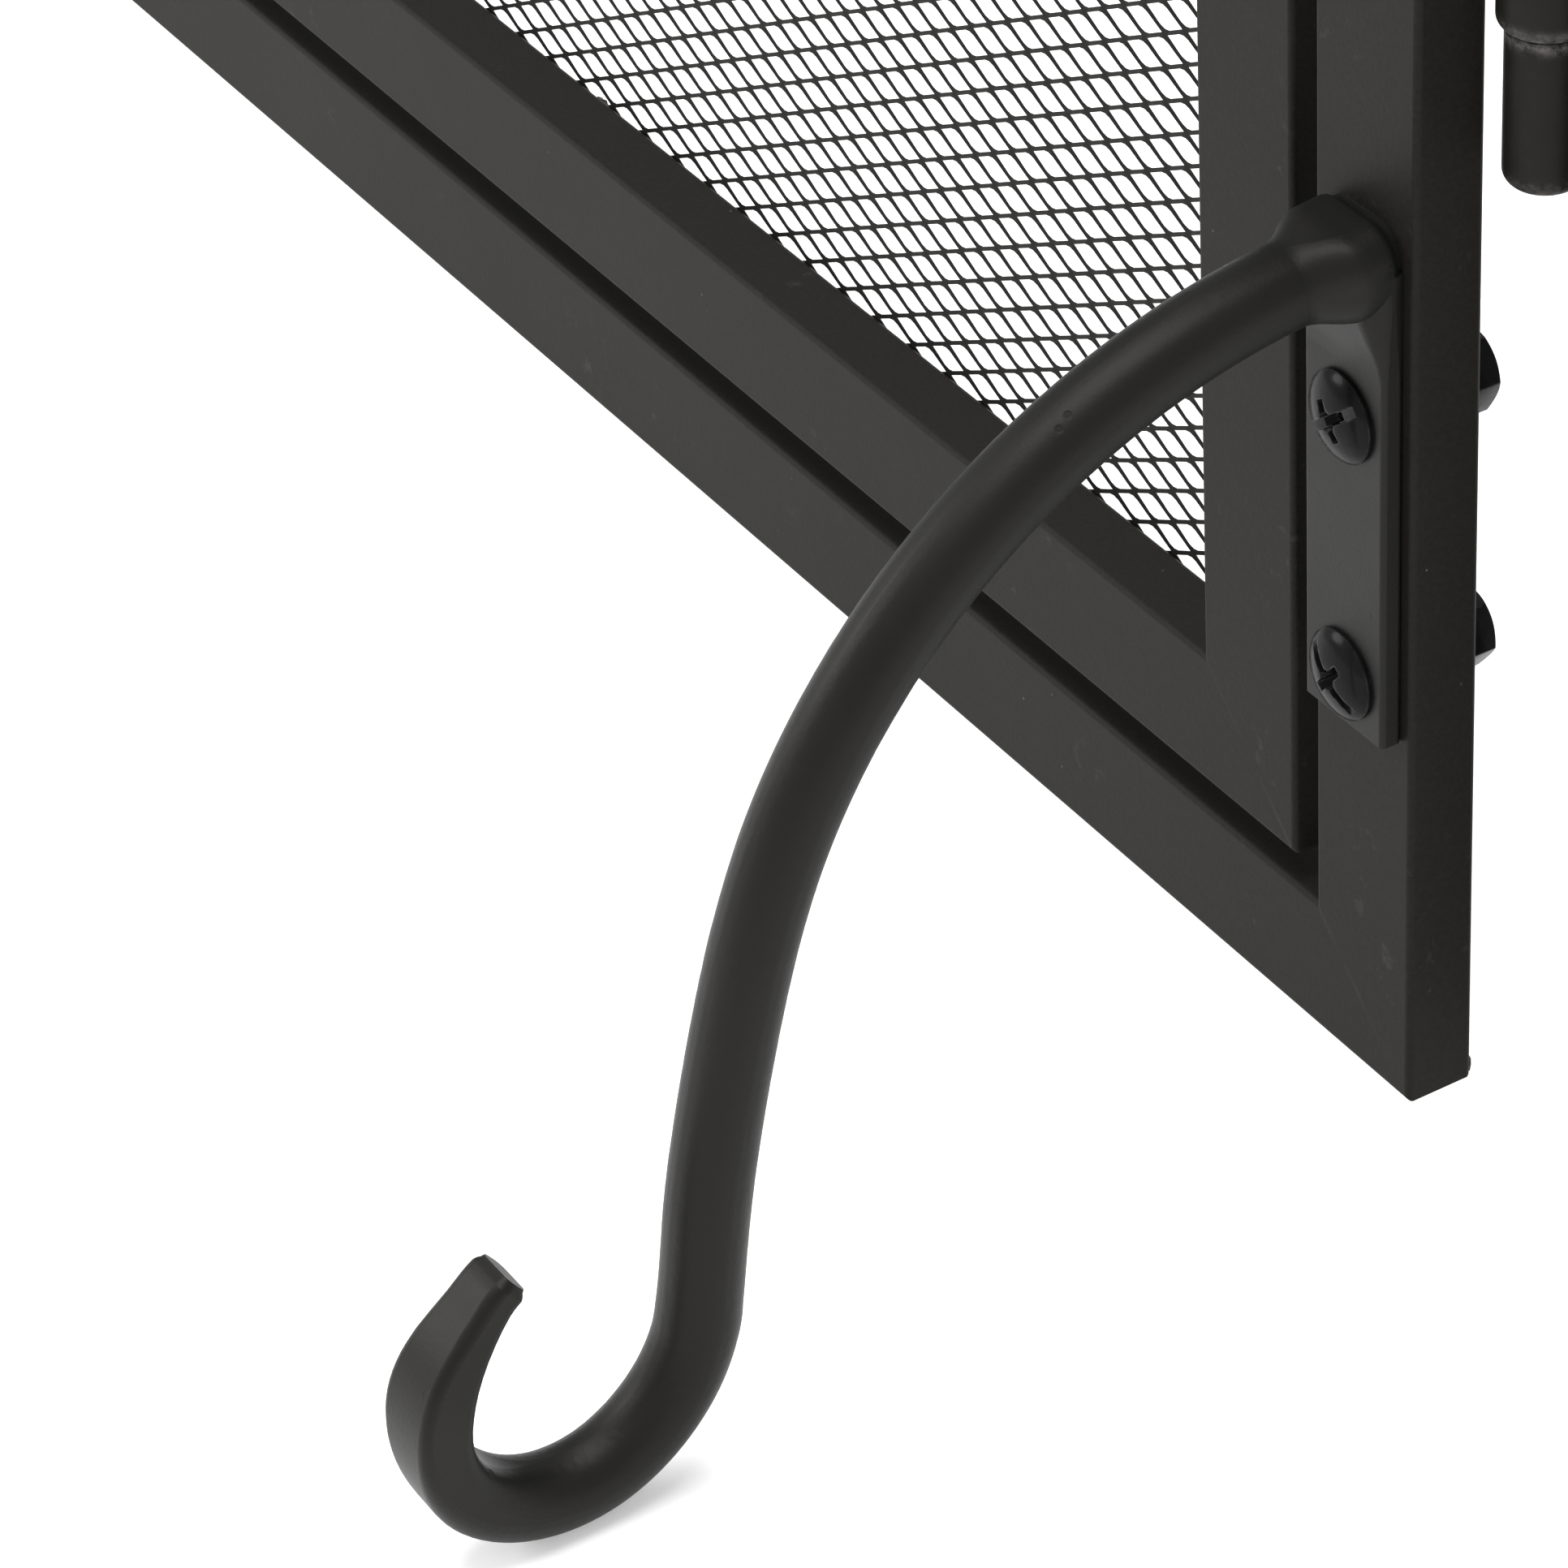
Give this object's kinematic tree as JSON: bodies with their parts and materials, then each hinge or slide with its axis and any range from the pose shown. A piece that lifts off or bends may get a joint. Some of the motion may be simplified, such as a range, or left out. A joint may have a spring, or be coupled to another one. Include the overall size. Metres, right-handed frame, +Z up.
{
  "type": "fireplace screen",
  "caption": "Free-standing black steel fireplace screen with mesh doors, folding mesh side wings and forged scroll feet.",
  "frame": {"origin": "on the floor, in the middle of the footprint of the screen as it stands at rest", "axes": "+X along the centre frame to the right of a person in front of it, +Y from the front to the fire, +Z up"},
  "size_m": [1.3022, 0.3999, 0.7955],
  "materials": {
    "frame_black": "satin baked black",
    "forged_black": "satin black over forged steel",
    "mesh_black": "satin black expanded steel",
    "fastener_black": "glossy black",
    "glide_plastic": "matte",
    "magnet_nickel": "nickel plated"
  },
  "bodies": {
    "centre_panel": {"centre_bottom_rail": "frame_black", "centre_top_rail": "frame_black", "centre_left_stile": "frame_black", "centre_right_stile": "frame_black", "catch_plate": "frame_black", "catch_magnets": "magnet_nickel", "catch_screws": "fastener_black", "left_scroll_foot": "forged_black", "left_foot_screws": "fastener_black", "left_foot_nuts": "fastener_black", "left_wing_lower_hinge_socket": "frame_black", "left_wing_upper_hinge_socket": "frame_black", "left_door_lower_hinge_pin": "frame_black", "left_door_upper_hinge_pin": "frame_black", "right_scroll_foot": "forged_black", "right_foot_screws": "fastener_black", "right_foot_nuts": "fastener_black", "right_wing_lower_hinge_socket": "frame_black", "right_wing_upper_hinge_socket": "frame_black", "right_door_lower_hinge_pin": "frame_black", "right_door_upper_hinge_pin": "frame_black"},
    "left_door": {"left_door_bottom_rail": "frame_black", "left_door_top_rail": "frame_black", "left_door_hinge_stile": "frame_black", "left_door_meeting_stile": "frame_black", "left_door_mesh": "mesh_black", "left_door_handle": "forged_black", "left_handle_screws": "fastener_black", "left_handle_nuts": "fastener_black", "left_door_lower_hinge_socket": "frame_black", "left_door_upper_hinge_socket": "frame_black"},
    "left_wing": {"left_wing_bottom_rail": "frame_black", "left_wing_top_rail": "frame_black", "left_wing_hinge_stile": "frame_black", "left_wing_far_stile": "frame_black", "left_wing_mesh": "mesh_black", "left_wing_peg": "frame_black", "left_wing_glide": "glide_plastic", "left_wing_lower_hinge_pin": "frame_black", "left_wing_upper_hinge_pin": "frame_black"},
    "right_door": {"right_door_bottom_rail": "frame_black", "right_door_top_rail": "frame_black", "right_door_hinge_stile": "frame_black", "right_door_meeting_stile": "frame_black", "right_door_mesh": "mesh_black", "right_door_handle": "forged_black", "right_handle_screws": "fastener_black", "right_handle_nuts": "fastener_black", "right_door_lower_hinge_socket": "frame_black", "right_door_upper_hinge_socket": "frame_black"},
    "right_wing": {"right_wing_bottom_rail": "frame_black", "right_wing_top_rail": "frame_black", "right_wing_hinge_stile": "frame_black", "right_wing_far_stile": "frame_black", "right_wing_mesh": "mesh_black", "right_wing_peg": "frame_black", "right_wing_glide": "glide_plastic", "right_wing_lower_hinge_pin": "frame_black", "right_wing_upper_hinge_pin": "frame_black"}
  },
  "joints": [
    {"name": "left_door_swing", "type": "hinge", "parent": "centre_panel", "child": "left_door", "pos_m": [-0.46775, -0.06522, 0.2], "axis": [0, 0, -1], "range_deg": [0, 94]},
    {"name": "left_wing_fold", "type": "hinge", "parent": "centre_panel", "child": "left_wing", "pos_m": [-0.4965, -0.04692, 0.2], "axis": [0, 0, -1], "range_deg": [-60, 118]},
    {"name": "right_door_swing", "type": "hinge", "parent": "centre_panel", "child": "right_door", "pos_m": [0.46775, -0.06522, 0.2], "axis": [0, 0, 1], "range_deg": [0, 94]},
    {"name": "right_wing_fold", "type": "hinge", "parent": "centre_panel", "child": "right_wing", "pos_m": [0.4965, -0.04692, 0.2], "axis": [0, 0, 1], "range_deg": [-60, 118]}
  ]
}
